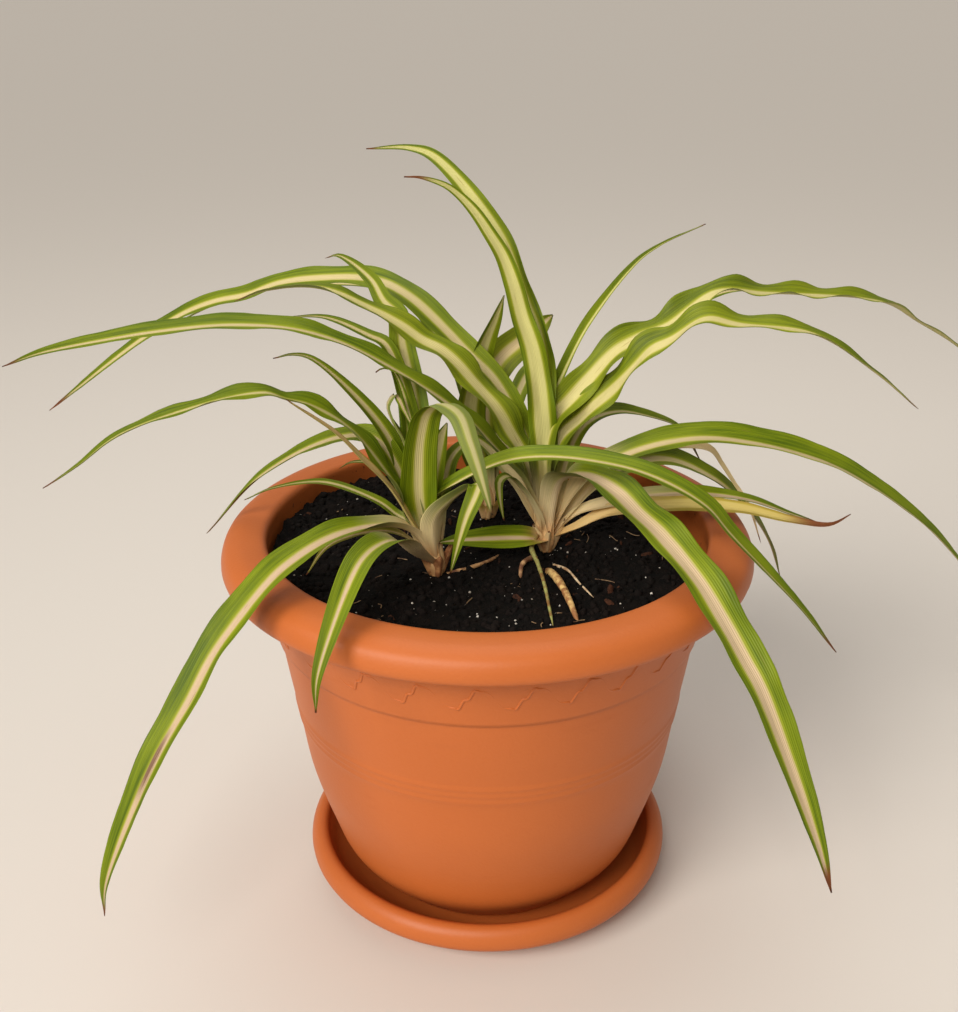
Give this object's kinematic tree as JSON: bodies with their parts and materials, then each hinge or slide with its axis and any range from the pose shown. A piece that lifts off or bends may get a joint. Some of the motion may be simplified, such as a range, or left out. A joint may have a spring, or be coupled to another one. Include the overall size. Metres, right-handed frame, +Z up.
{
  "type": "potted spider plant",
  "caption": "Spider plant with arching striped leaves growing from crowns in a round plastic pot that stands on a saucer.",
  "frame": {"origin": "middle of the saucer's flat underside, on the pot's axis at table level", "axes": "+Z up along the pot's axis; -Y towards the front of the plant; +X to the right seen from the front"},
  "size_m": [0.537, 0.3374, 0.3802],
  "materials": {
    "pot": "satin terracotta-coloured moulded plastic",
    "saucer": "satin terracotta-coloured moulded plastic",
    "soil": null,
    "crown": null,
    "leaf": null,
    "dry_leaf": "dry yellow-brown leaf"
  },
  "bodies": {
    "root": {"saucer": "saucer", "pot": "pot", "soil": "soil", "crown_left": "crown", "crown_right": "crown", "crown_back": "crown", "leaf_front_right": "leaf", "leaf_front_left": "leaf", "leaf_crossing_right": "leaf", "leaf_low_right": "leaf", "leaf_high_right": "leaf", "leaf_mid_right": "leaf", "leaf_tall": "leaf", "leaf_long_left": "leaf", "leaf_twisted_left": "leaf", "leaf_arched_left": "leaf", "leaf_tall_twin": "leaf", "leaf_wavy_left": "leaf", "leaf_front_short": "leaf", "leaf_kinked": "leaf", "leaf_upright_left": "leaf", "leaf_hooked_left": "leaf", "leaf_thin_right": "leaf", "leaf_bent_right": "leaf", "leaf_yellow_right": "leaf", "leaf_pale_right": "leaf", "leaf_low_back_right": "leaf", "leaf_dry_right": "dry_leaf", "leaf_low_left": "leaf", "leaf_small_left": "leaf", "leaf_pale_left": "leaf", "leaf_stub_left": "leaf", "leaf_slender_left": "leaf", "leaf_nodding_left": "leaf", "leaf_curled_tip": "leaf", "leaf_slip_left": "leaf", "leaf_tiny_left": "leaf", "leaf_hanging_front": "leaf", "leaf_flat_front": "leaf", "leaf_upright_back": "leaf", "leaf_folded_back": "leaf", "leaf_back_left": "leaf", "leaf_back_right": "leaf", "leaf_back": "leaf"}
  },
  "joints": []
}
